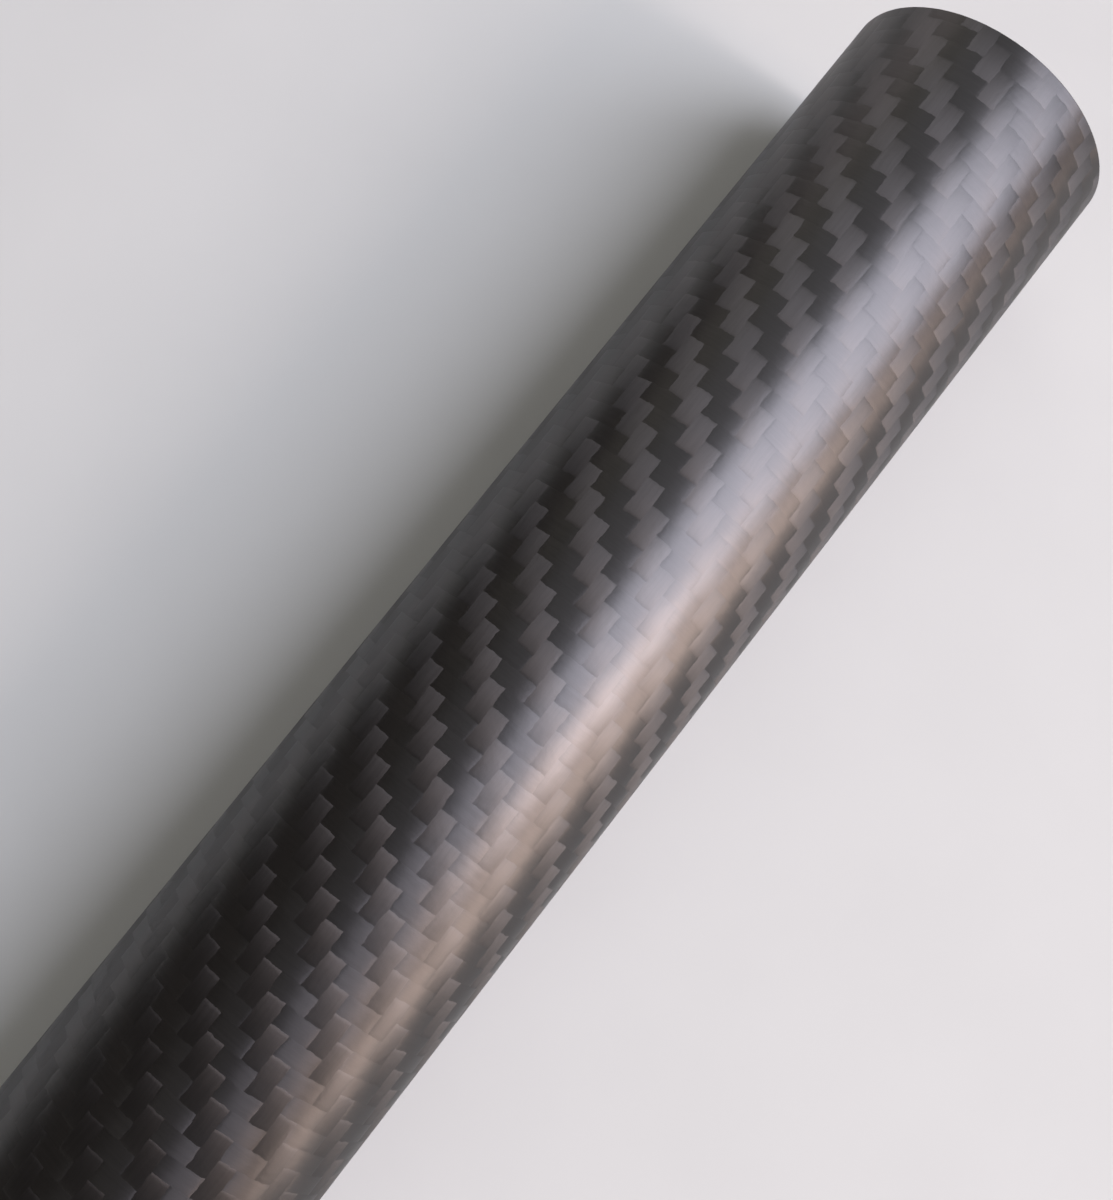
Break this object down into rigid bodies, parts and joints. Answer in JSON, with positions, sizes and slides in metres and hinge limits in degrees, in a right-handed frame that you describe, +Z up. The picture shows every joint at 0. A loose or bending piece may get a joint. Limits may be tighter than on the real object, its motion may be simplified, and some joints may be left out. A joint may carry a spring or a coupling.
{
  "type": "carbon fibre tube",
  "caption": "Straight round carbon fibre tube with a thin twill-woven wall, an open bore and square-cut ends.",
  "frame": {"origin": "on the floor, under the middle of the tube's length", "axes": "+X along the tube's axis to the end that the picture shows, +Z up, the tube lying on its side"},
  "size_m": [0.5, 0.032, 0.032],
  "materials": {
    "carbon_twill": "2/2 twill carbon fibre weave under a satin clear coat"
  },
  "bodies": {
    "root": {"carbon_tube": "carbon_twill"}
  },
  "joints": []
}
